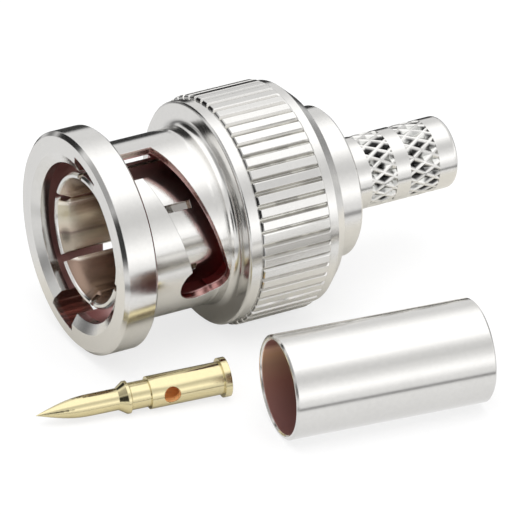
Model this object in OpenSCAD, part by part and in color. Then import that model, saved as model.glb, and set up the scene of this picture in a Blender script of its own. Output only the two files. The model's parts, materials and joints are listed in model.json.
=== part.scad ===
// Bayonet coaxial plug for a crimped cable, with its loose contact pin and crimp ferrule.
// The origin is the centre of the mating face on the plug's axis, +X runs back to the cable
// and +Z is up. The plug, the pin and the ferrule all lie on one flat surface.

/* [Coupling nut] */
// Overall length of the coupling nut
nut_len = 15.4; // [15:0.1:17]
// Diameter of the front ring
ring_d = 14; // [13.5:0.1:14.4]
// Length of the front ring
ring_len = 2.2; // [1.8:0.02:2.6]
// Bevel round the front of the ring
ring_bevel = 0.24; // [0.1:0.02:0.3]
// Diameter of the neck that carries the bayonet slots
neck_d = 11.08; // [10.9:0.02:11.4]
// Bore that passes over the mating jack
nut_bore_d = 10.1; // [9.9:0.05:10.3]
// Width of the chamfer round the mouth of the bore
mouth_chamfer_w = 0.65; // [0.3:0.05:0.8]
// Depth of the chamfer round the mouth of the bore
mouth_chamfer_h = 0.35; // [0.2:0.05:0.6]
// Distance from the mating face to the front of the grip
grip_start = 8.42; // [8.4:0.02:9]
// Radius of the fillet between neck and grip
grip_fillet_r = 1.2; // [0.6:0.1:1.2]
// Diameter of the plain rims of the grip
rim_d = 14.1; // [13.9:0.05:14.2]
// Width of the front rim
front_rim_w = 0.86; // [0.5:0.02:1]
// Diameter across the ribs of the grip
grip_d = 14.5; // [14.4:0.05:14.8]
// Length of the ribs
rib_len = 4.7; // [4:0.1:4.8]
// Number of ribs round the grip
rib_count = 56; // [40:4:60]
// Depth of the grooves between the ribs
rib_depth = 0.3; // [0.2:0.02:0.36]
// Width of the rear rim, up to the tail cone
rear_rim_w = 0.6; // [0.4:0.05:0.8]
// Diameter at the small end of the tail cone
tail_d = 12.6; // [12.5:0.05:12.9]

/* [Bayonet slots] */
// Width of the helical slots
slot_w = 2.4; // [2.2:0.05:2.5]
// Rise of the slots along the axis, for one full turn
slot_lead = 9.65; // [9:0.05:10.2]
// Position of the slot's end along the axis
slot_end_x = 6.75; // [6.6:0.05:6.8]
// Angle from the entry to the slot's end
slot_sweep = 91; // [85:1:95]
// Radius of the round detent pocket
pocket_r = 1.3; // [1.2:0.05:1.4]
// Position of the detent pocket along the axis
pocket_x = 5.93; // [5.8:0.05:6]
// Angle from the slot's end to the detent pocket
pocket_sweep = 2.6; // [1:0.2:4]
// Angular width of each lug entry
entry_w = 25; // [23:1:27]
// Diameter to which the lug entries are cut
entry_d = 12.3; // [12.1:0.05:12.5]
// Angle of the first lug entry from the top
entry_clock = 16; // [0:1:40]

/* [Inner stack] */
// Depth of the gasket seat behind the mating face
seat_depth = 9.95; // [9.9:0.05:10.2]
// Counterbore that holds the washers
counterbore_d = 11.9; // [11.6:0.05:12]
// Thickness of the body flange
flange_t = 1.1; // [0.8:0.05:1.2]
// Thickness of the sealing gasket
gasket_t = 0.9; // [0.6:0.05:1.1]
// Outer diameter of the sealing gasket
gasket_d = 9.9; // [9.5:0.05:9.9]
// Sheet thickness of a wave washer
wave_t = 0.25; // [0.2:0.01:0.3]
// Rise of the waves of a wave washer
wave_rise = 0.55; // [0.4:0.01:0.6]
// Number of waves round a wave washer
wave_count = 3; // [3:1:4]
// Thickness of the thrust washer
thrust_t = 0.4; // [0.3:0.05:0.5]
// Thickness of the retaining ring
retainer_t = 0.6; // [0.5:0.05:0.7]
// Diameter of the groove for the retaining ring
retainer_groove_d = 12.7; // [12.6:0.05:12.9]
// Inner diameter of the retaining ring
retainer_bore_d = 11; // [10.6:0.1:11.2]
// Angle of the gap in the retaining ring
retainer_gap = 40; // [20:5:60]

/* [Plug body] */
// Diameter of the collar behind the nut
collar_d = 9.6; // [9.3:0.02:9.7]
// Distance from the mating face to the rear of the collar
collar_end = 17.6; // [17:0.02:18.5]
// Diameter of the knurled crimp stem
stem_d = 4.6; // [4.5:0.02:4.8]
// Length of the crimp stem
stem_len = 8.34; // [8:0.01:9]
// Bore for the cable's dielectric
cable_bore_d = 3.1; // [3:0.05:3.3]
// Rounding of the stem's rear edge
stem_round = 0.35; // [0.2:0.05:0.5]
// Number of knurl pits round the stem
pit_count = 18; // [12:1:20]
// Spacing of the rows of pits along the stem
pit_pitch = 0.66; // [0.6:0.02:0.72]
// Part of the knurl that the pits take, with the ridges between them as the rest
pit_share = 0.9; // [0.8:0.01:0.94]
// Depth of the knurl pits
pit_depth = 0.24; // [0.15:0.01:0.3]
// Distance from the collar to the front band
front_band_x = 2.08; // [1:0.02:2.2]
// Length of the front band
front_band_len = 1.8; // [1.4:0.05:1.8]
// Distance from the collar to the rear band
rear_band_x = 4.86; // [4.7:0.02:5]
// Length of the rear band
rear_band_len = 2.05; // [1.6:0.05:2.2]

/* [Outer contact] */
// Distance from the mating face to the tips of the contact fingers
contact_tip_x = 0.85; // [0.5:0.05:1.5]
// Diameter across the beads of the contact fingers
contact_tip_d = 8.6; // [8.2:0.05:8.7]
// Diameter of the contact behind the beads
contact_d = 8; // [7.9:0.05:8.1]
// Bore of the outer contact, in front of the insulator
contact_bore_d = 6.9; // [6.8:0.05:7]
// Number of saw cuts across the contact, each of which makes two slots
saw_cuts = 3; // [2:1:4]
// Width of a saw cut
saw_w = 0.5; // [0.4:0.05:0.6]
// Angle from the first lug entry to the first saw cut
saw_clock = 34; // [25:1:45]
// Depth of the saw cuts
saw_depth = 5.6; // [5:0.1:6]
// Diameter of the stub pressed into the body
contact_stub_d = 7.8; // [7.5:0.05:7.8]
// Length of the stub pressed into the body
contact_stub_len = 2.5; // [2:0.1:3]

/* [Insulator] */
// Bore that holds the insulator
insulator_seat_d = 6.3; // [6.2:0.05:6.4]
// Distance from the mating face to the front of the insulator
insulator_x = 6.6; // [6.5:0.1:7.5]
// Overall length of the insulator
insulator_len = 6.6; // [6.2:0.1:7]
// Bore for the contact pin
insulator_bore_d = 2.1; // [2.1:0.05:2.3]

/* [Contact pin] */
// Overall length of the contact pin
pin_len = 12.1; // [12:0.1:13.5]
// Diameter of the needle
needle_d = 1.34; // [1.32:0.01:1.37]
// Length of the pointed tip
needle_tip_len = 3.3; // [2.8:0.1:3.8]
// Distance from the tip to the shoulder cone
needle_len = 5.12; // [4.8:0.02:5.3]
// Diameter of the barrel and of the shoulder
barrel_d = 2.02; // [1.9:0.01:2.04]
// Distance from the tip to the front of the barrel
barrel_x = 7.08; // [7:0.02:7.3]
// Diameter of the waist in front of the barrel
waist_d = 1.68; // [1.6:0.02:1.8]
// Diameter of the rear flange
pin_flange_d = 2.44; // [2.3:0.02:2.7]
// Thickness of the rear flange
pin_flange_t = 0.42; // [0.4:0.02:0.6]
// Bore for the cable's centre wire
wire_bore_d = 1.1; // [0.9:0.02:1.2]
// Depth of the wire bore
wire_bore_len = 4.5; // [4.2:0.1:5]
// Diameter of the inspection hole
inspection_d = 1.04; // [0.8:0.02:1.1]
// Distance from the tip to the inspection hole
inspection_x = 8.35; // [8.3:0.05:9]

/* [Crimp ferrule] */
// Outer diameter of the ferrule
ferrule_d = 6.4; // [6.2:0.05:7]
// Wall of the ferrule
ferrule_wall = 0.34; // [0.25:0.01:0.5]
// Length of the ferrule
ferrule_len = 12.8; // [11:0.1:14]

/* [Loose pieces] */
// Position of the ferrule's front end behind the mating face
ferrule_x = 5.8; // [2:0.1:10]
// Distance of the ferrule's front end from the plug's axis, to the side
ferrule_y = 15.2; // [14:0.1:20]
// Turn of the ferrule on the surface
ferrule_turn = -7.6; // [-12:0.2:8]
// Position of the pin's tip in front of the mating face
pin_tip_x = -6.5; // [-10:0.05:-4]
// Distance of the pin's tip from the plug's axis, to the side
pin_tip_y = 7.5; // [7.4:0.1:10]
// Turn of the contact pin on the surface
pin_turn = -9.2; // [-12:0.2:-6]
// Direction that the inspection hole faces, from the top
inspection_clock = 86; // [0:1:180]

/* [Clearances] */
// Gap between pieces that are pressed or seated together
seat_gap = 0.02; // [0.01:0.01:0.03]
// Gap between turning or sliding pieces, each side
run_gap = 0.1; // [0.06:0.01:0.12]
// Gap of the retaining ring in its groove, each side
groove_gap = 0.03; // [0.02:0.01:0.05]

/* [Hidden] */
$fn = 96;
past = 1;
edge = 0.15;

floor_z = -grip_d / 2;
ring_r = ring_d / 2;
neck_r = neck_d / 2;
nut_bore_r = nut_bore_d / 2;
rim_r = rim_d / 2;
rib_start = grip_start + front_rim_w;
rib_end = rib_start + rib_len;
tail_start = rib_end + rear_rim_w;
rib_root_r = grip_d / 2 - rib_depth;
rib_pitch = 360 / rib_count;
rib_crest = 0.3;
rib_flank = 0.46;
rib_bevel = 0.12;

slot_r = slot_w / 2;
slot_floor_r = nut_bore_r - 0.5;
slot_end_clock = entry_clock + slot_sweep;
pocket_clock = slot_end_clock + pocket_sweep;
mm_per_degree = PI * neck_d / 360;
pocket_reach = pocket_r / mm_per_degree;

flange_back = seat_depth + flange_t;
wave_h = wave_t + wave_rise;
thrust_x = flange_back + 2 * wave_h;
retainer_x = thrust_x + thrust_t;
washer_d = counterbore_d - 2 * run_gap;
washer_bore_d = collar_d + 2 * run_gap;

stem_end = collar_end + stem_len;
stub_bore_d = contact_stub_d + 2 * seat_gap;
insulator_d = insulator_seat_d - 2 * seat_gap;
insulator_end = insulator_x + insulator_len;
stub_end = seat_depth + contact_stub_len;

shoulder_x = needle_len + 0.5;
shoulder_len = 0.18;
waist_x = shoulder_x + shoulder_len + 0.08;
pin_flange_x = pin_len - pin_flange_t;
pin_tilt = atan((pin_flange_d - barrel_d) / 2 / (pin_flange_x - shoulder_x));
pin_tip_z = floor_z + pin_flange_d / 2 * cos(pin_tilt) - pin_flange_x * sin(pin_tilt);

// A point on a drum round the axis, at a clock angle from the top, towards the -Y side
function on_drum(r, clock, x) = [-r * cos(clock), -r * sin(clock), x];

// Half the chord of a circle at a distance from its centre
function half_chord(r, off) = sqrt(max(0, r * r - off * off));

// Turns a shape made round +Z to run back along the plug's axis
module on_axis() {
    rotate([0, 90, 0]) children();
}

// Places a shape that points along +X at a clock angle from the top
module at_clock(clock) {
    rotate([0, 0, clock + 180]) children();
}

// Skin over rings of equally many points, closed into a loop or capped at both ends
module skin(rings, looped) {
    n = len(rings[0]);
    count = len(rings);
    spans = looped ? count : count - 1;
    sides = [for (i = [0:spans - 1], k = [0:n - 1])
        let (a = i * n + k, b = i * n + (k + 1) % n, j = (i + 1) % count)
        each [[a, j * n + k, b], [b, j * n + k, j * n + (k + 1) % n]]];
    first = [for (k = [0:n - 1]) k];
    last = [for (k = [n - 1:-1:0]) (count - 1) * n + k];
    polyhedron([for (ring = rings) each ring], looped ? sides : concat(sides, [first, last]));
}

// ---- Coupling nut ----

function helix_x(clock) = slot_end_x - slot_lead * (slot_end_clock - clock) / 360;

// Distance that a round end reaches to either side of its centre line, or -1 beside it
function end_reach(r, centre, clock) =
    let (off = (clock - centre) * mm_per_degree) abs(off) > r ? -1 : half_chord(r, off);

function slot_rear(clock) =
    let (end = end_reach(slot_r, slot_end_clock, clock), pocket = end_reach(pocket_r, pocket_clock, clock))
    max(clock <= slot_end_clock ? helix_x(clock) + slot_r : -past,
        end < 0 ? -past : slot_end_x + end,
        pocket < 0 ? -past : pocket_x + pocket);

function slot_front(clock) =
    let (end = end_reach(slot_r, slot_end_clock, clock), pocket = end_reach(pocket_r, pocket_clock, clock))
    min(clock <= slot_end_clock ? helix_x(clock) - slot_r : nut_len,
        end < 0 ? nut_len : slot_end_x - end,
        pocket < 0 ? nut_len : pocket_x - pocket);

// Cross-section of the slot cutter at a clock angle, between two places along the axis
function slot_ring(clock, front, rear) = [
    on_drum(slot_floor_r, clock, front), on_drum(slot_floor_r, clock, rear),
    on_drum(entry_d / 2, clock, rear), on_drum(entry_d / 2, clock, front)];

// Cutter for a lug entry, the helical slot behind it and the detent pocket at its end
module bayonet_cutter() {
    entry_end = entry_clock + entry_w / 2;
    helix_start = entry_end + 0.1;
    helix_end = pocket_clock - pocket_reach;
    pocket_turn = 178.5;
    entry_steps = 6;
    helix_steps = 20;
    pocket_steps = 48;
    entry = [for (i = [0:entry_steps])
        let (clock = entry_end - entry_w * (1 - i / entry_steps)) slot_ring(clock, -past, slot_rear(clock))];
    helix = [for (i = [0:helix_steps])
        let (clock = helix_start + (helix_end - helix_start) * i / helix_steps)
        slot_ring(clock, slot_front(clock), slot_rear(clock))];
    pocket = [for (i = [1:pocket_steps])
        let (clock = pocket_clock - pocket_reach * cos(pocket_turn * i / pocket_steps))
        slot_ring(clock, slot_front(clock), slot_rear(clock))];
    skin(concat(entry, helix, pocket), false);
}

// Section of the nut without its ribs, slots and ring groove
module nut_section() {
    polygon([[nut_bore_r + mouth_chamfer_w, 0], [ring_r - ring_bevel, 0],
        [ring_r, ring_bevel], [ring_r, ring_len - edge],
        [ring_r - edge, ring_len], [neck_r, ring_len], [neck_r, grip_start], [rim_r - edge, grip_start],
        [rim_r, grip_start + edge], [rim_r, rib_start], [rib_root_r, rib_start], [rib_root_r, rib_end],
        [rim_r, rib_end], [rim_r, tail_start], [tail_d / 2, nut_len], [counterbore_d / 2, nut_len],
        [counterbore_d / 2, seat_depth], [nut_bore_r, seat_depth], [nut_bore_r, mouth_chamfer_h]]);
    difference() {
        translate([neck_r, grip_start - grip_fillet_r]) square(grip_fillet_r);
        translate([neck_r + grip_fillet_r, grip_start - grip_fillet_r]) circle(grip_fillet_r);
    }
}

// Outline of the ribs, one trapezium per rib with a narrow flat groove between
function rib_outline() = [for (i = [0:rib_count - 1], p = [[-1, 0], [-1, 1], [1, 1], [1, 0]])
    let (half = p[1] == 1 ? rib_crest : rib_flank, r = rib_root_r + p[1] * rib_depth,
        clock = (i + 1 / 2 + p[0] * half) * rib_pitch)
    [-r * cos(clock), -r * sin(clock)]];

// The ribbed band of the grip, with the ribs' ends bevelled
module ribs() {
    intersection() {
        translate([0, 0, rib_start]) linear_extrude(rib_len) difference() {
            polygon(rib_outline());
            circle(rib_root_r - edge);
        }
        rotate_extrude() polygon([[0, rib_start], [grip_d / 2 - rib_bevel, rib_start],
            [grip_d / 2, rib_start + rib_bevel], [grip_d / 2, rib_end - rib_bevel],
            [grip_d / 2 - rib_bevel, rib_end], [0, rib_end]]);
    }
}

module coupling_nut() color("silver") on_axis() difference() {
    union() {
        rotate_extrude() nut_section();
        ribs();
    }
    for (turn = [0, 180]) rotate([0, 0, turn]) bayonet_cutter();
    translate([0, 0, retainer_x - groove_gap])
        cylinder(h = retainer_t + 2 * groove_gap, d = retainer_groove_d);
}

// ---- Plug body and what is fixed in it ----

// A knurl pit: a pyramid whose point reaches into the stem
module knurl_pit() {
    over = 0.12;
    half_round = (1 + over) * pit_share * PI * stem_d / pit_count / 2;
    half_long = (1 + over) * pit_share * pit_pitch;
    top = over * pit_depth;
    polyhedron([[top, half_round, 0], [top, 0, half_long], [top, -half_round, 0], [top, 0, -half_long],
        [-pit_depth, 0, 0]], [[3, 2, 1, 0], [0, 1, 4], [1, 2, 4], [2, 3, 4], [3, 0, 4]]);
}

// A band of knurl pits, each row turned half a pitch from the last and the outer ones cut short
module knurl_band(x, len) {
    intersection() {
        for (row = [-2:2], i = [0:pit_count - 1])
            at_clock((i + row / 2) * 360 / pit_count)
                translate([stem_d / 2, 0, x + len / 2 + row * pit_pitch]) knurl_pit();
        translate([0, 0, x]) cylinder(h = len, d = stem_d + past);
    }
}

// Section of the plug body, from the flange back to the end of the stem
module body_section() {
    rim_r = stem_d / 2 - stem_round;
    polygon([[stub_bore_d / 2, seat_depth], [washer_d / 2, seat_depth], [washer_d / 2, flange_back],
        [collar_d / 2, flange_back], [collar_d / 2, collar_end - edge], [collar_d / 2 - edge, collar_end],
        [stem_d / 2, collar_end], [stem_d / 2, stem_end - stem_round], [rim_r, stem_end - stem_round],
        [rim_r, stem_end], [cable_bore_d / 2, stem_end], [cable_bore_d / 2, insulator_end],
        [insulator_seat_d / 2, insulator_end], [insulator_seat_d / 2, stub_end], [stub_bore_d / 2, stub_end]]);
    translate([rim_r, stem_end - stem_round]) intersection() {
        circle(stem_round);
        square(stem_round);
    }
}

module plug_body() color("gainsboro") on_axis() difference() {
    rotate_extrude() body_section();
    knurl_band(collar_end + front_band_x, front_band_len);
    knurl_band(collar_end + rear_band_x, rear_band_len);
}

// Section of the outer contact: beaded fingers, a plain tube and the pressed stub
module contact_section() {
    bead_len = 0.6;
    polygon([[contact_bore_d / 2 + edge, contact_tip_x], [contact_tip_d / 2 - edge, contact_tip_x],
        [contact_tip_d / 2, contact_tip_x + edge], [contact_tip_d / 2, contact_tip_x + bead_len],
        [contact_d / 2, contact_tip_x + 2 * bead_len], [contact_d / 2, seat_depth],
        [contact_stub_d / 2, seat_depth], [contact_stub_d / 2, stub_end], [insulator_seat_d / 2, stub_end],
        [insulator_seat_d / 2, insulator_x], [contact_bore_d / 2, insulator_x],
        [contact_bore_d / 2, contact_tip_x + edge]]);
}

module outer_contact() color("lightgray") on_axis() difference() {
    rotate_extrude() contact_section();
    for (i = [0:saw_cuts - 1]) at_clock(entry_clock + saw_clock + i * 180 / saw_cuts)
        translate([-contact_tip_d, -saw_w / 2, contact_tip_x - past])
            cube([2 * contact_tip_d, saw_w, saw_depth + past]);
}

module insulator() color("white") on_axis() rotate_extrude()
    translate([insulator_bore_d / 2, insulator_x])
        square([(insulator_d - insulator_bore_d) / 2, insulator_len]);

module gasket() color("darkred") on_axis() rotate_extrude()
    translate([contact_d / 2 + seat_gap, seat_depth - gasket_t])
        square([(gasket_d - contact_d) / 2 - seat_gap, gasket_t]);

// ---- Spring stack that draws the plug onto the jack ----

// A wave washer round the body's barrel; way is 1 or -1 and sets which wave points forward
module wave_washer(x, way) {
    steps = 24 * wave_count;
    rings = [for (i = [0:steps - 1])
        let (turn = 360 * i / steps, mid = x + wave_h / 2 + way * wave_rise / 2 * cos(wave_count * turn))
        [on_drum(washer_bore_d / 2, turn, mid - wave_t / 2), on_drum(washer_bore_d / 2, turn, mid + wave_t / 2),
            on_drum(washer_d / 2, turn, mid + wave_t / 2), on_drum(washer_d / 2, turn, mid - wave_t / 2)]];
    on_axis() skin(rings, true);
}

module wave_washer_1() color("slategray") wave_washer(flange_back, 1);

module wave_washer_2() color("slategray") wave_washer(flange_back + wave_h, -1);

module thrust_washer() color("darkgray") on_axis() rotate_extrude()
    translate([washer_bore_d / 2, thrust_x]) square([(washer_d - washer_bore_d) / 2, thrust_t]);

module retaining_ring() color("dimgray") on_axis() translate([0, 0, retainer_x]) difference() {
    cylinder(h = retainer_t, d = retainer_groove_d - 2 * groove_gap);
    translate([0, 0, -past]) cylinder(h = retainer_t + 2 * past, d = retainer_bore_d);
    at_clock(180) translate([0, 0, -past]) linear_extrude(retainer_t + 2 * past)
        polygon([[0, 0], [retainer_groove_d, -retainer_groove_d * tan(retainer_gap / 2)],
            [retainer_groove_d, retainer_groove_d * tan(retainer_gap / 2)]]);
}

// ---- Loose pieces ----

// Section of the contact pin, from its tip back to the flange
module pin_section() {
    tip_steps = 10;
    tip = [for (i = [0:tip_steps])
        [needle_d / 2 * sin(90 * i / tip_steps), needle_tip_len * i / tip_steps]];
    polygon(concat(tip, [[needle_d / 2, needle_len], [barrel_d / 2, shoulder_x],
        [barrel_d / 2, shoulder_x + shoulder_len], [waist_d / 2, waist_x], [waist_d / 2, barrel_x],
        [barrel_d / 2, barrel_x], [barrel_d / 2, pin_flange_x], [pin_flange_d / 2, pin_flange_x],
        [pin_flange_d / 2, pin_len], [0, pin_len]]));
}

module contact_pin() color("gold")
    translate([pin_tip_x, -pin_tip_y, pin_tip_z]) rotate([0, 0, pin_turn]) rotate([0, -pin_tilt, 0])
        on_axis() difference() {
            rotate_extrude() pin_section();
            translate([0, 0, pin_len - wire_bore_len]) cylinder(h = wire_bore_len + past, d = wire_bore_d);
            translate([0, 0, inspection_x]) at_clock(inspection_clock) rotate([0, 90, 0])
                cylinder(h = barrel_d, d = inspection_d);
        }

module crimp_ferrule() color("silver")
    translate([ferrule_x, -ferrule_y, floor_z + ferrule_d / 2]) rotate([0, 0, ferrule_turn])
        on_axis() rotate_extrude() {
            bore_r = ferrule_d / 2 - ferrule_wall;
            bevel = ferrule_wall / 3;
            polygon([[bore_r + bevel, 0], [ferrule_d / 2 - bevel, 0], [ferrule_d / 2, bevel],
                [ferrule_d / 2, ferrule_len - bevel], [ferrule_d / 2 - bevel, ferrule_len],
                [bore_r + bevel, ferrule_len], [bore_r, ferrule_len - bevel], [bore_r, bevel]]);
        }

coupling_nut();
plug_body();
outer_contact();
insulator();
gasket();
wave_washer_1();
wave_washer_2();
thrust_washer();
retaining_ring();
contact_pin();
crimp_ferrule();
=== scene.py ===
import json
import math

import bmesh
import bpy
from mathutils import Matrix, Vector


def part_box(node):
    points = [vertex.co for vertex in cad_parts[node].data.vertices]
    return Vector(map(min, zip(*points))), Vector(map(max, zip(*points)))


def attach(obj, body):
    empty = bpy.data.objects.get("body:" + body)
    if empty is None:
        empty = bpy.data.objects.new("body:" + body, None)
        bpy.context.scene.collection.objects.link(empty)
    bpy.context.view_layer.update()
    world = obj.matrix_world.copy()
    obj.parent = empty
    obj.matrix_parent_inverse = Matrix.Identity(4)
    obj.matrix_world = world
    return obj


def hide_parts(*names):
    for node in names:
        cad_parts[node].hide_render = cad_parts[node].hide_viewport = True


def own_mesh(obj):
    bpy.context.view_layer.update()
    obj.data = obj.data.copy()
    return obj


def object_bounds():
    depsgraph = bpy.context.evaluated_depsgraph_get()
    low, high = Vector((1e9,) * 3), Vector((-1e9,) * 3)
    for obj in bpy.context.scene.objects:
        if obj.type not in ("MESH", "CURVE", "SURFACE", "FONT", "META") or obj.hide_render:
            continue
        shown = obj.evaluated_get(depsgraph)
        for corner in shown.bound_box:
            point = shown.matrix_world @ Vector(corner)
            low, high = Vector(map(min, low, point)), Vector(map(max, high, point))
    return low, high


MM = 0.001

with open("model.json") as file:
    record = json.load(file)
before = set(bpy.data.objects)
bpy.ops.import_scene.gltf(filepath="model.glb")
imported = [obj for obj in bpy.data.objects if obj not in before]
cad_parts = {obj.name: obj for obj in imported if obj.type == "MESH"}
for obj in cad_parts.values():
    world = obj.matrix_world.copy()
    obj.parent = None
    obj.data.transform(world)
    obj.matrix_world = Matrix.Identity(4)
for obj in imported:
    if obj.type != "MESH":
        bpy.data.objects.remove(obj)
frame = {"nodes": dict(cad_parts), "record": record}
nodes = frame["nodes"]
cad_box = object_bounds()
floor_z = cad_box[0].z


# ---- Node helpers ----

class Graph:
    """A material's or world's node tree, with short ways to add and join nodes."""

    def __init__(self, owner):
        owner.use_nodes = True
        self.tree = owner.node_tree
        self.tree.nodes.clear()

    def add(self, kind, **values):
        node = self.tree.nodes.new(kind)
        for name, value in values.items():
            setattr(node, name, value)
        return node

    def feed(self, socket, value):
        """Join a node's output to an input, or set the input to a value of its own."""
        if isinstance(value, bpy.types.NodeSocket):
            self.tree.links.new(value, socket)
        elif socket.type == "RGBA":
            socket.default_value = (*value, 1)
        else:
            socket.default_value = value

    def filled(self, node, values):
        """A node with its first inputs fed in their order."""
        for socket, value in zip(node.inputs, values):
            self.feed(socket, value)
        return node

    def math(self, operation, *values):
        return self.filled(self.add("ShaderNodeMath", operation=operation), values).outputs[0]

    def vector(self, operation, *values):
        """The outputs of vector maths, which are "Vector" and "Value"."""
        return self.filled(self.add("ShaderNodeVectorMath", operation=operation), values).outputs

    def split(self, vector):
        """A vector's parts, as the outputs "X", "Y" and "Z"."""
        return self.filled(self.add("ShaderNodeSeparateXYZ"), [vector]).outputs

    def place(self):
        """The shaded point, in metres from its object's origin."""
        return self.add("ShaderNodeTexCoord").outputs["Object"]

    def noise(self, vector, scale, detail=2.0, roughness=0.5):
        node = self.add("ShaderNodeTexNoise")
        self.feed(node.inputs["Vector"], vector)
        self.feed(node.inputs["Scale"], scale)
        self.feed(node.inputs["Detail"], detail)
        self.feed(node.inputs["Roughness"], roughness)
        return node.outputs["Fac"]

    def ramp(self, fac, stops):
        """A tone for each value from 0 to 1. Stops are pairs of value and tone."""
        node = self.add("ShaderNodeValToRGB")
        elements = node.color_ramp.elements
        while len(elements) < len(stops):
            elements.new(0.5)
        while len(elements) > len(stops):
            elements.remove(elements[-1])
        for element, (position, tone) in zip(elements, stops):
            element.position = position
            element.color = (*tone, 1)
        self.feed(node.inputs["Fac"], fac)
        return node.outputs["Color"]

    def mix(self, fac, a, b, blend="MIX"):
        """Tone a where fac is 0, and tone b, or its blend with a, where fac is 1."""
        node = self.add("ShaderNodeMix", data_type="RGBA", blend_type=blend)
        colours = [socket for socket in node.inputs if socket.type == "RGBA"]
        for socket, value in zip([node.inputs[0], *colours], (fac, a, b)):
            self.feed(socket, value)
        return next(socket for socket in node.outputs if socket.type == "RGBA")

    def mix_shader(self, fac, a, b):
        return self.filled(self.add("ShaderNodeMixShader"), [fac, a, b]).outputs[0]

    def between(self, value, start, end):
        """1 where a value lies between two limits, else 0."""
        return self.math("MULTIPLY", self.math("GREATER_THAN", value, start),
                         self.math("LESS_THAN", value, end))

    def fade(self, value, one_at, none_at):
        """1 on the near side of one limit, falling smoothly to 0 at the other."""
        node = self.add("ShaderNodeMapRange", interpolation_type="SMOOTHSTEP")
        self.feed(node.inputs["Value"], value)
        self.feed(node.inputs["From Min"], none_at)
        self.feed(node.inputs["From Max"], one_at)
        return node.outputs[0]

    def output(self, kind, shader):
        """Join a shader to a new output node."""
        self.feed(self.add(kind).inputs["Surface"], shader)


def darker(tone, share):
    return tuple(value * share for value in tone)


# ---- Materials ----

# Soft edges of turned metal
EDGE_RADIUS = 0.06 * MM
EDGE_SAMPLES = 4
# Half of the width, in millimetres, over which a bore's look fades out in its wall
BORE_FADE = 0.02

# Noise scales, per metre
CLOUDS = 260
PATCHES = 700
SMEARS = 900
MOTTLES = 1500
GRAINS = 4200

# Wear is these shares of clouds and grain, and dulls a tone to this share of it
CLOUD_WEAR = 0.5
GRAIN_WEAR = 0.7
WORN_TONE = 0.88
# The noise at which patches are full, and at which they end
PATCH_FULL = 0.56
PATCH_END = 0.44
# The product of these is how many tool marks there are on a millimetre
MARK_STRETCH = 9.0
MARK_NOISE = 3.0
MARK_BUMP = 0.10
MARK_DEPTH = 0.02 * MM
# What marks, smears and mottles add to a roughness, at the most
MARK_ROUGHNESS = 0.08
SMEAR_ROUGHNESS = 0.05
MOTTLE_ROUGHNESS = 0.15
MOTTLED_TONE = 0.85


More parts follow.
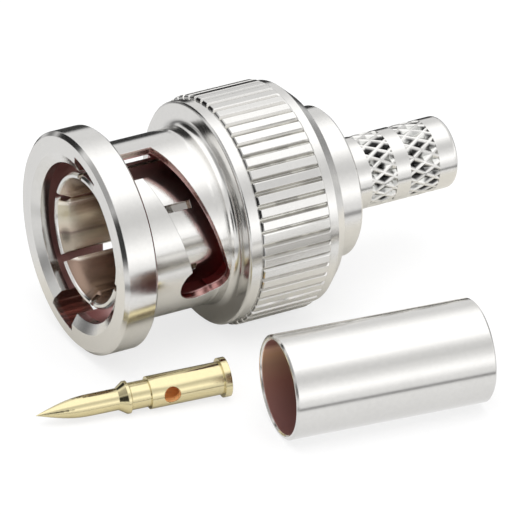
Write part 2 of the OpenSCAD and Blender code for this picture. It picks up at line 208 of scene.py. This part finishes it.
class TurnedMetal:
    """Plated turned metal with fine tool marks round its axis, which is a pair of origin and direction.

    Lengths along the axis and radii are in millimetres, and start and end are places along the axis."""

    def __init__(self, name, axis, tone, roughness):
        self.material = bpy.data.materials.new(name)
        self.graph = Graph(self.material)
        graph = self.graph
        origin, direction = axis
        self.place = graph.vector("SUBTRACT", graph.place(), origin)["Vector"]
        along = graph.vector("DOT_PRODUCT", self.place, direction)["Value"]
        across = graph.vector("CROSS_PRODUCT", self.place, direction)["Vector"]
        self.along = graph.math("DIVIDE", along, MM)
        self.radius = graph.math("DIVIDE", graph.vector("LENGTH", across)["Value"], MM)
        self.marks = self.tool_marks()
        self.base_roughness = roughness
        self.colour = self.worn(tone)
        self.roughness = self.marked(roughness)
        self.metallic = 1.0
        self.edge_radius = EDGE_RADIUS

    def tool_marks(self):
        """Fine rings round the axis, as a value from 0 to 1."""
        graph = self.graph
        parts = [graph.math("MULTIPLY", value, MARK_STRETCH) for value in (self.along, self.radius)]
        rings = graph.filled(graph.add("ShaderNodeCombineXYZ"), parts)
        return graph.noise(rings.outputs[0], MARK_NOISE, detail=4, roughness=0.7)

    def worn(self, tone):
        """The tone, duller in clouds and in fine grain."""
        graph = self.graph
        clouds = graph.noise(self.place, CLOUDS, detail=3)
        grain = graph.math("MULTIPLY", graph.noise(self.place, GRAINS, roughness=0.7), GRAIN_WEAR)
        wear = graph.math("MULTIPLY_ADD", clouds, CLOUD_WEAR, grain)
        return graph.mix(wear, tone, darker(tone, WORN_TONE))

    def marked(self, roughness):
        """The roughness, with tool marks round it and smears on top."""
        graph = self.graph
        rough = graph.math("MULTIPLY_ADD", self.marks, MARK_ROUGHNESS, roughness - MARK_ROUGHNESS / 2)
        return graph.math("MULTIPLY_ADD", graph.noise(self.place, SMEARS), SMEAR_ROUGHNESS, rough)

    def painted_shade_band(self, start, end, full, gone, tone, second):
        """A band of painted shade in patches of two tones, which is full at one radius and gone at another.
        """
        graph = self.graph
        inside = graph.math("MULTIPLY", graph.between(self.along, start, end),
                            graph.fade(self.radius, full, gone))
        patches = graph.fade(graph.noise(self.place, PATCHES, detail=1), PATCH_FULL, PATCH_END)
        self.colour = graph.mix(inside, self.colour, graph.mix(patches, tone, second))

    def wall(self, start, end, inner, outer, first, last, rounding=0.0):
        """Cut walls between two radii, with painted shade and reflection. Their tone goes from first at the
        start to last at the end.

        rounding is added to the radius of their soft edges, in millimetres, to smooth their facets."""
        graph = self.graph
        inside = graph.math("MULTIPLY", graph.between(self.along, start, end),
                            graph.between(self.radius, inner, outer))
        tone = graph.mix(graph.fade(self.along, start, end), last, first)
        self.colour = graph.mix(inside, self.colour, tone)
        if rounding:
            self.edge_radius = graph.math("MULTIPLY_ADD", inside, rounding * MM, self.edge_radius)

    def bore(self, radius, start, end, stops, roughness, metallic=1.0):
        """An inside with painted reflection and shade, in tones by height.

        Its stops are pairs of height, from 0 at its bottom to 1 at its top, and tone."""
        graph = self.graph
        inside = graph.math("MULTIPLY", graph.between(self.along, start, end),
                            graph.fade(self.radius, radius - BORE_FADE, radius + BORE_FADE))
        height = graph.math("MULTIPLY_ADD", graph.split(self.place)["Z"], 0.5 / (radius * MM), 0.5)
        self.colour = graph.mix(inside, self.colour, graph.ramp(height, stops))
        self.roughness = graph.math("MULTIPLY_ADD", inside, roughness - self.base_roughness, self.roughness)
        if metallic < 1:
            self.metallic = graph.math("MULTIPLY_ADD", inside, metallic - 1, 1.0)

    def normal(self):
        """The surface's normal, with tool marks and softly broken edges."""
        graph = self.graph
        edges = graph.add("ShaderNodeBevel", samples=EDGE_SAMPLES)
        graph.feed(edges.inputs["Radius"], self.edge_radius)
        bump = graph.add("ShaderNodeBump")
        graph.feed(bump.inputs["Strength"], MARK_BUMP)
        graph.feed(bump.inputs["Distance"], MARK_DEPTH)
        graph.feed(bump.inputs["Height"], self.marks)
        graph.feed(bump.inputs["Normal"], edges.outputs[0])
        return bump.outputs[0]

    def finished(self):
        """The material, once all that differs on it is added."""
        graph = self.graph
        bsdf = graph.add("ShaderNodeBsdfPrincipled")
        graph.feed(bsdf.inputs["Base Color"], self.colour)
        graph.feed(bsdf.inputs["Metallic"], self.metallic)
        graph.feed(bsdf.inputs["Roughness"], self.roughness)
        graph.feed(bsdf.inputs["Normal"], self.normal())
        graph.output("ShaderNodeOutputMaterial", bsdf.outputs[0])
        return self.material


def mottled(name, tone, least_roughness):
    """The material of a dull solid such as plastic or rubber, with fine mottling."""
    material = bpy.data.materials.new(name)
    graph = Graph(material)
    mottles = graph.noise(graph.place(), MOTTLES, detail=3)
    rough = graph.math("MULTIPLY_ADD", mottles, MOTTLE_ROUGHNESS, least_roughness)
    bsdf = graph.add("ShaderNodeBsdfPrincipled")
    graph.feed(bsdf.inputs["Base Color"], graph.mix(mottles, tone, darker(tone, MOTTLED_TONE)))
    graph.feed(bsdf.inputs["Roughness"], rough)
    graph.output("ShaderNodeOutputMaterial", bsdf.outputs[0])
    return material


NICKEL = (0.78, 0.77, 0.75)
STEEL = (0.52, 0.52, 0.54)
GOLD = (0.78, 0.69, 0.42)
WHITE_PTFE = (0.9, 0.9, 0.88)
RED_SILICONE = (0.42, 0.03, 0.03)
# Painted reflection and shade of insides, which mirror themselves: reddish in the nickel parts, orange in
# the pin's gold bore
MAROON = (0.64, 0.37, 0.36)
PIN_BORE_REFLECTION = (1.0, 0.60, 0.27)
# Painted shade in the grip's grooves and the knurl's pits, each in two tones; DARK also draws a painted dark
# line, and PIT_LIT is the painted lit part of a pit
GROOVE = (0.66, 0.65, 0.61)
SHADE = (0.50, 0.49, 0.46)
DARK = (0.03, 0.03, 0.03)
PIT_LIT = (0.60, 0.60, 0.58)
# Painted shade and reflection on the nut's cut walls
ENTRY_WALL = (0.64, 0.45, 0.40)
SLOT_WALL = (0.52, 0.45, 0.40)
DETENT_WALL = (0.38, 0.19, 0.18)
# Painted reflection in the bore of the contact, from its bottom up: the fingers, slots and bright edges that
# it mirrors, as painted highlights and shade
CONTACT_BANDS = [(0.0, (0.24, 0.17, 0.13)), (0.17, (0.27, 0.19, 0.15)), (0.185, (0.80, 0.74, 0.66)),
                 (0.20, (0.80, 0.74, 0.66)), (0.215, (0.46, 0.40, 0.32)), (0.34, (0.50, 0.43, 0.35)),
                 (0.36, (0.36, 0.28, 0.24)), (0.38, (0.58, 0.49, 0.40)), (0.47, (0.66, 0.62, 0.52)),
                 (0.585, (0.68, 0.64, 0.54)), (0.60, (0.98, 0.95, 0.90)), (0.615, (0.98, 0.95, 0.90)),
                 (0.63, (0.66, 0.57, 0.48)), (0.76, (0.60, 0.50, 0.43)), (0.83, (0.46, 0.38, 0.34)),
                 (1.0, (0.42, 0.35, 0.31))]
# Painted reflection and shade in the bore of the ferrule, from its bottom up
FERRULE_BANDS = [(0.0, (0.30, 0.15, 0.14)), (0.30, (0.42, 0.22, 0.18)), (0.50, (0.58, 0.36, 0.25)),
                 (0.62, (0.80, 0.52, 0.32)), (0.70, (0.95, 0.64, 0.45)), (0.78, (0.40, 0.20, 0.17)),
                 (1.0, (0.26, 0.13, 0.12))]

# Roughness of bright plate
BRIGHT = 0.12
# Origin and direction of the plug's axis
PLUG = ((0, 0, 0), (1, 0, 0))


def mount_bore(name):
    """A mount's axis and its radius in millimetres."""
    mount = next(m for m in frame["record"]["mounts"] if m["name"] == name)
    return (mount["pos_m"], mount["axis"]), mount["dims"]["r_mm"]


def nut_nickel():
    metal = TurnedMetal("nut_nickel", PLUG, NICKEL, BRIGHT)
    # Painted shade in the grip's grooves, and a painted dark line over the front ends of its ribs
    metal.painted_shade_band(start=9.3, end=13.96, full=6.96, gone=7.12, tone=GROOVE, second=SHADE)
    metal.painted_shade_band(start=9.2, end=9.33, full=7.2, gone=7.03, tone=DARK, second=DARK)
    # Painted shade and reflection on the walls of the lug entries through the front ring, and of the slots
    # in the neck
    metal.wall(start=0.4, end=2.18, inner=5.12, outer=6.25, first=ENTRY_WALL, last=ENTRY_WALL)
    metal.wall(start=2.2, end=8, inner=5.1, outer=5.52, first=SLOT_WALL, last=DETENT_WALL, rounding=0.18)
    # Painted shade and reflection inside the nut
    metal.bore(radius=5.15, start=0.9, end=16, stops=[(0, MAROON)], roughness=0.32)
    return metal.finished()


def body_nickel():
    metal = TurnedMetal("body_nickel", PLUG, NICKEL, BRIGHT)
    # Painted shade in the pits of the stem's two knurled bands, with painted lit patches
    for start, end in ((19.6, 21.5), (22.4, 24.6)):
        metal.painted_shade_band(start, end, full=2.18, gone=2.29, tone=DARK, second=PIT_LIT)
    # Painted shade and reflection inside the body
    metal.bore(radius=1.6, start=0.5, end=30, stops=[(0, MAROON)], roughness=0.3)
    return metal.finished()


def contact_nickel():
    metal = TurnedMetal("contact_nickel", PLUG, NICKEL, BRIGHT)
    # Painted reflection in the contact's bore
    metal.bore(radius=3.98, start=0.95, end=6.6, stops=CONTACT_BANDS, roughness=0.22)
    return metal.finished()


def ferrule_nickel():
    axis, radius = mount_bore("ferrule_bore")
    metal = TurnedMetal("ferrule_nickel", axis, NICKEL, BRIGHT)
    # Painted reflection and shade in the ferrule's bore
    metal.bore(radius + BORE_FADE, start=-20, end=20, stops=FERRULE_BANDS, roughness=0.4, metallic=0.6)
    return metal.finished()


def pin_gold():
    axis, radius = mount_bore("wire_bore")
    metal = TurnedMetal("pin_gold", axis, GOLD, roughness=0.10)
    # It reaches into the barrel's wall, so the wall of the inspection hole gets the painted orange
    # reflection too
    metal.bore(radius + 0.4, start=-2.75, end=2, stops=[(0, PIN_BORE_REFLECTION)], roughness=0.3, metallic=0.2)
    return metal.finished()


# ---- Pieces that stand for a CAD node ----

CUTTER_SEGMENTS = 288
# In metres
WELD_DISTANCE = 1e-7
# Corners that round to the same point of a grid with this many steps per metre share their place
PLACE_GRID = 1e7
# A normal fits a face where the cosine between them is above this
FITTING = 0.85
CUT_EDGE_ANGLE = math.radians(24)


def new_object(name, data):
    thing = bpy.data.objects.new(name, data)
    bpy.context.scene.collection.objects.link(thing)
    return thing


def ring_faces(steps, count):
    """The faces of a closed ring with a number of steps round it and a number of points in its section."""
    faces = []
    for i in range(steps):
        here, ahead = i * count, (i + 1) % steps * count
        for j in range(count):
            after = (j + 1) % count
            faces.append((here + j, here + after, ahead + after, ahead + j))
    return faces


def ring_solid(name, section):
    """A closed ring round the plug's axis. Its section lists distance along and radius, in millimetres."""
    points = []
    for i in range(CUTTER_SEGMENTS):
        turn = 2 * math.pi * i / CUTTER_SEGMENTS
        points += [(x * MM, r * MM * math.cos(turn), r * MM * math.sin(turn)) for x, r in section]
    mesh = bpy.data.meshes.new(name)
    mesh.from_pydata(points, [], ring_faces(CUTTER_SEGMENTS, len(section)))
    shape = bmesh.new()
    shape.from_mesh(mesh)
    bmesh.ops.recalc_face_normals(shape, faces=shape.faces)
    shape.to_mesh(mesh)
    shape.free()
    return new_object(name, mesh)


def welded_copy(node, name):
    """A copy of a CAD node whose faces share their points."""
    shape = bmesh.new()
    shape.from_mesh(nodes[node].data)
    bmesh.ops.remove_doubles(shape, verts=shape.verts, dist=WELD_DISTANCE)
    mesh = bpy.data.meshes.new(name)
    shape.to_mesh(mesh)
    shape.free()
    return new_object(name, mesh)


def without(piece, cutter):
    """The mesh of a piece without what lies in the cutter, which is used up."""
    cut = piece.modifiers.new("cut", "BOOLEAN")
    cut.operation = "DIFFERENCE"
    cut.solver = "EXACT"
    cut.object = cutter
    finished = bpy.data.meshes.new_from_object(piece.evaluated_get(bpy.context.evaluated_depsgraph_get()))
    piece.modifiers.clear()
    bpy.data.objects.remove(cutter)
    return finished


def corner_place(mesh, corner):
    return mesh.vertices[mesh.loops[corner].vertex_index].co


def grid_point(place):
    return tuple(round(value * PLACE_GRID) for value in place)


def keep_normals(source, finished, cut_normal):
    """Give the corners that a cut mesh shares with its source the normals that they had there.

    For the other corners, cut_normal gives a normal's parts along the axis and away from it."""
    known = {}
    for corner, normal in enumerate(source.corner_normals):
        known.setdefault(grid_point(corner_place(source, corner)), []).append(normal.vector.copy())
    normals = [normal.vector.copy() for normal in finished.corner_normals]
    for polygon in finished.polygons:
        for corner in polygon.loop_indices:
            place = corner_place(finished, corner)
            choices = []
            shared = known.get(grid_point(place))
            if shared:
                choices.append(max(shared, key=polygon.normal.dot))
            if cut_normal:
                radius = math.hypot(place.y, place.z)
                along, away = cut_normal(place.x / MM, radius / MM)
                choices.append(Vector((along, away * place.y / radius, away * place.z / radius)))
            fitting = [choice for choice in choices if choice.dot(polygon.normal) > FITTING]
            if fitting:
                normals[corner] = fitting[0]
    finished.normals_split_custom_set(normals)


def recut(node, body, name, section, material, cut_normal=None):
    """A copy of a CAD node with a turned ring cut off it. It stands for the node and moves with its body."""
    piece = welded_copy(node, name)
    finished = without(piece, ring_solid(name + "_cutter", section))
    piece.data = finished
    finished.shade_smooth()
    finished.set_sharp_from_angle(angle=CUT_EDGE_ANGLE)
    keep_normals(nodes[node].data, finished, cut_normal)
    finished.materials.clear()
    finished.materials.append(material)
    for polygon in finished.polygons:
        polygon.material_index = 0
    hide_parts(node)
    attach(piece, body)


# The grip's front face, the radius just off the neck where the cut ends, and the radius of the corner
# between them, in millimetres
GRIP_FACE_X = 8.43
NECK_R = 5.56
CORNER = 0.5
CORNER_STEP = 15
# The cutter starts before the CAD nut's fillet and reaches outside its ribs
FACING_START_X = 7.0
FACING_R = 7.6


def faced_normal(x, r):
    """Normal of the faced grip: along the face, round the corner, then along the neck."""
    if r > NECK_R + CORNER:
        return -1, 0
    if x < GRIP_FACE_X - CORNER:
        return 0, 1
    return (GRIP_FACE_X - CORNER - x) / CORNER, (NECK_R + CORNER - r) / CORNER


def face_nut():
    """Face the front of the grip square, down to the small corner at the neck."""
    corner_arc = []
    for degrees in range(0, 91, CORNER_STEP):
        turn = math.radians(degrees)
        corner_arc.append((GRIP_FACE_X - CORNER + CORNER * math.sin(turn),
                           NECK_R + CORNER - CORNER * math.cos(turn)))
    section = [(FACING_START_X, FACING_R), (FACING_START_X, NECK_R), *corner_arc, (GRIP_FACE_X, FACING_R)]
    recut("coupling_nut", "nut", "coupling_nut_faced", section, nut_nickel(), faced_normal)


# The bore of the contact at the tips of its fingers and where their lips end, in millimetres
TIP_X = 0.85
TIP_BORE_R = 3.97
LIP_END_X = 1.6
LIP_END_R = 3.44
# The cutter starts before the tips, and its own bore lies in the open
LIP_CUT_X = 0.4
LIP_CUT_R = 4.0
LIP_CUT_BORE_R = 1.0


def thin_contact():
    """Thin the contact's fingers inside to narrow lips."""
    section = [(LIP_CUT_X, LIP_CUT_BORE_R), (LIP_CUT_X, LIP_CUT_R), (TIP_X, TIP_BORE_R),
               (LIP_END_X, LIP_END_R), (LIP_END_X, LIP_CUT_BORE_R)]
    recut("outer_contact", "plug", "outer_contact_lipped", section, contact_nickel())


WASHER_SHEET = 0.25 * MM
WASHER_WAVES = 3
WASHER_STEPS = 180
WASHER_EDGE_ANGLE = math.radians(40)


def wave_washer_mesh(name, low, high, inner, first):
    """A wave washer in the box from low to high, with its inner radius and the turn of its first crest."""
    middle = (low.x + high.x) / 2
    rise = (high.x - low.x - WASHER_SHEET) / 2
    points = []
    for i in range(WASHER_STEPS):
        turn = 2 * math.pi * i / WASHER_STEPS
        x = middle + rise * math.cos(WASHER_WAVES * (turn - first))
        for radius, side in ((inner, -1), (inner, 1), (high.y, 1), (high.y, -1)):
            points.append((x + side * WASHER_SHEET / 2, radius * math.cos(turn), radius * math.sin(turn)))
    # Each face starts at its second corner, which sets the diagonal that splits it into triangles
    faces = [(b, c, d, a) for a, b, c, d in ring_faces(WASHER_STEPS, 4)]
    mesh = bpy.data.meshes.new(name)
    mesh.from_pydata(points, [], faces)
    mesh.shade_smooth()
    mesh.set_sharp_from_angle(angle=WASHER_EDGE_ANGLE)
    return mesh


def smooth_wave_washer(node, material):
    """A smooth wave washer in the place of its node."""
    low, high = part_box(node)
    points = [vertex.co for vertex in nodes[node].data.vertices]
    inner = min(math.hypot(point.y, point.z) for point in points)
    crest = max(points, key=lambda point: point.x)
    mesh = wave_washer_mesh(node + "_smooth", low, high, inner, math.atan2(crest.z, crest.y))
    mesh.materials.append(material)
    washer = new_object(node + "_smooth", mesh)
    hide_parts(node)
    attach(washer, "plug")
    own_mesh(washer)


def dress(node, material):
    """Give a CAD node a material in place of its own."""
    mesh = nodes[node].data
    mesh.materials.clear()
    mesh.materials.append(material)


face_nut()
thin_contact()
steel = TurnedMetal("spring_steel", PLUG, STEEL, roughness=0.3).finished()
for washer_node in ("wave_washer_1", "wave_washer_2"):
    smooth_wave_washer(washer_node, steel)
dress("retaining_ring", steel)
dress("thrust_washer", TurnedMetal("washer_nickel", PLUG, NICKEL, roughness=0.2).finished())
dress("plug_body", body_nickel())
dress("crimp_ferrule", ferrule_nickel())
dress("contact_pin", pin_gold())
dress("insulator", mottled("white_ptfe", WHITE_PTFE, least_roughness=0.43))
dress("gasket", mottled("red_silicone", RED_SILICONE, least_roughness=0.33))


# ---- Camera ----

def add_camera(azimuth, elevation, distance, target, lens):
    """A camera that looks at the target. Its azimuth, in degrees, is from the front towards +X."""
    a, e = math.radians(azimuth), math.radians(elevation)
    back = Vector((math.sin(a) * math.cos(e), -math.cos(a) * math.cos(e), math.sin(e)))
    data = bpy.data.cameras.new("camera")
    data.lens = lens
    data.sensor_width = 36.0
    data.clip_start = 0.01
    data.clip_end = 10.0
    camera = new_object("camera", data)
    camera.location = Vector(target) + back * distance
    camera.rotation_mode = "QUATERNION"
    camera.rotation_quaternion = (-back).to_track_quat("-Z", "Y")
    bpy.context.scene.camera = camera


# ---- Floor, world and light ----

FLOOR_HALF = 1.0
FLOOR_TONE = (0.93, 0.93, 0.93)
# The floor's tone where metal mirrors it, darker as painted shade near the plug
MIRRORED_FLOOR = (0.70, 0.68, 0.63)
# Share of the camera's view of the floor that is white whatever the shadow
FLOOR_WHITE = 0.75
# Metal mirrors the floor within the first distance of the plug's line, and the studio past the second.
# The line runs from x = 0 to twice PLUG_HALF.
MIRROR_FULL = 8 * MM
MIRROR_END = 14 * MM
PLUG_HALF = 13 * MM
# The studio as the camera sees it
BACKDROP = (1.0, 1.0, 1.0)

# Pairs of degrees above the horizon and brightness, on the camera's side and on the far side
FRONT_BANDS = [(-90, 0.85), (-60, 0.93), (-34, 1.0), (-30, 1.0), (-28, 0.28), (-24, 0.28), (-22, 0.95),
               (-12, 1.0), (-5, 1.25), (3, 1.5), (10, 1.35), (20, 1.02), (33, 0.8), (43, 0.88), (51, 1.15),
               (57, 1.5), (90, 1.5)]
BACK_BANDS = [(-90, 0.85), (-60, 0.88), (-30, 0.92), (-18, 0.85), (-8, 0.6), (-3, 0.2), (0, 0.2), (5, 0.75),
              (10, 0.87), (30, 0.86), (40, 1.0), (50, 1.3), (58, 1.5), (90, 1.5)]
# A ramp's tones end at 1, so the bands are divided by this, and the studio is multiplied by it
BRIGHTEST = 1.6
# Half the width, in the y of a direction, of the blend between the two sides
SIDE_BLEND = 0.3
# Dark parts of the studio: direction, share of the light left, and the angles where they start and end
DARK_PATCHES = [((-0.905, -0.42, 0.12), 0.03, 12, 23), ((-0.40, 0.85, 0.35), 0.03, 13, 22),
                ((-0.82, 0.12, 0.56), 0.52, 14, 27), ((0.426, 0.88, -0.20), 0.08, 14, 19),
                ((-0.45, -0.87, 0.15), 0.1, 10, 16)]


def floor_material():
    """A white floor that keeps the shadow, and that metal mirrors only near the plug, in a darker tone of
    painted shade.
    """
    material = bpy.data.materials.new("floor_white")
    graph = Graph(material)
    ray = graph.add("ShaderNodeLightPath").outputs
    diffuse = graph.add("ShaderNodeBsdfDiffuse")
    # Metal mirrors a darker floor: painted shade
    graph.feed(diffuse.inputs["Color"], graph.mix(ray["Is Glossy Ray"], FLOOR_TONE, MIRRORED_FLOOR))
    white = graph.math("MULTIPLY", ray["Is Camera Ray"], FLOOR_WHITE)
    plain = graph.mix_shader(white, diffuse.outputs[0], graph.add("ShaderNodeEmission").outputs[0])
    place = graph.split(graph.place())
    from_middle = graph.math("ABSOLUTE", graph.math("SUBTRACT", place["X"], PLUG_HALF))
    past_ends = graph.math("MAXIMUM", graph.math("SUBTRACT", from_middle, PLUG_HALF), 0.0)
    away = graph.math("SQRT", graph.math("ADD", graph.math("POWER", past_ends, 2.0),
                                         graph.math("POWER", place["Y"], 2.0)))
    gone = graph.math("MULTIPLY", graph.fade(away, MIRROR_END, MIRROR_FULL), ray["Is Glossy Ray"])
    clear = graph.add("ShaderNodeBsdfTransparent").outputs[0]
    graph.output("ShaderNodeOutputMaterial", graph.mix_shader(gone, plain, clear))
    return material


def add_floor():
    mesh = bpy.data.meshes.new("floor")
    corners = [(x * FLOOR_HALF, y * FLOOR_HALF, floor_z) for x, y in ((-1, -1), (1, -1), (1, 1), (-1, 1))]
    mesh.from_pydata(corners, [], [(0, 1, 2, 3)])
    mesh.materials.append(floor_material())
    floor = new_object("floor", mesh)


def by_height(graph, height, bands):
    """Brightness by height, which runs from 0 straight down to 1 straight up."""
    return graph.ramp(height, [((degrees + 90) / 180, (value / BRIGHTEST,) * 3) for degrees, value in bands])


def dark_patch(graph, way, studio, centre, level, inner, outer):
    """The studio with one dark patch round a direction."""
    aside = graph.vector("DOT_PRODUCT", way, Vector(centre).normalized())["Value"]
    patch = graph.fade(aside, math.cos(math.radians(inner)), math.cos(math.radians(outer)))
    return graph.mix(1.0, studio, graph.math("MULTIPLY_ADD", patch, level - 1, 1.0), "MULTIPLY")


def set_world():
    """A studio that metal mirrors, and that the camera sees as white."""
    world = bpy.data.worlds.new("studio")
    bpy.context.scene.world = world
    graph = Graph(world)
    way = graph.add("ShaderNodeTexCoord").outputs["Generated"]
    parts = graph.split(way)
    height = graph.math("MULTIPLY_ADD", graph.math("ARCSINE", parts["Z"]), 1 / math.pi, 0.5)
    far_side = graph.fade(parts["Y"], SIDE_BLEND, -SIDE_BLEND)
    studio = graph.mix(far_side, by_height(graph, height, FRONT_BANDS), by_height(graph, height, BACK_BANDS))
    for patch in DARK_PATCHES:
        studio = dark_patch(graph, way, studio, *patch)
    bright = graph.vector("MULTIPLY", studio, (BRIGHTEST,) * 3)["Vector"]
    seen = graph.add("ShaderNodeLightPath").outputs["Is Camera Ray"]
    background = graph.add("ShaderNodeBackground")
    graph.feed(background.inputs["Color"], graph.mix(seen, bright, BACKDROP))
    graph.output("ShaderNodeOutputWorld", background.outputs[0])


def add_softbox(name, place, target, width, power):
    """A square light that looks at the target. Metal doesn't mirror it."""
    data = bpy.data.lights.new(name, "AREA")
    data.shape = "SQUARE"
    data.size = width
    data.energy = power
    light = new_object(name, data)
    light.location = place
    light.rotation_mode = "QUATERNION"
    light.rotation_quaternion = (Vector(target) - Vector(place)).to_track_quat("-Z", "Y")
    light.visible_glossy = False


add_camera(azimuth=-28.89, elevation=28.09, distance=350 * MM,
           target=(15.56 * MM, 5.02 * MM, floor_z), lens=387.0)
add_floor()
set_world()
add_softbox("key", place=(-0.05, -0.15, 0.40), target=(0.01, -0.004, -0.004), width=0.30, power=0.8)
bpy.context.scene.view_settings.view_transform = "Standard"
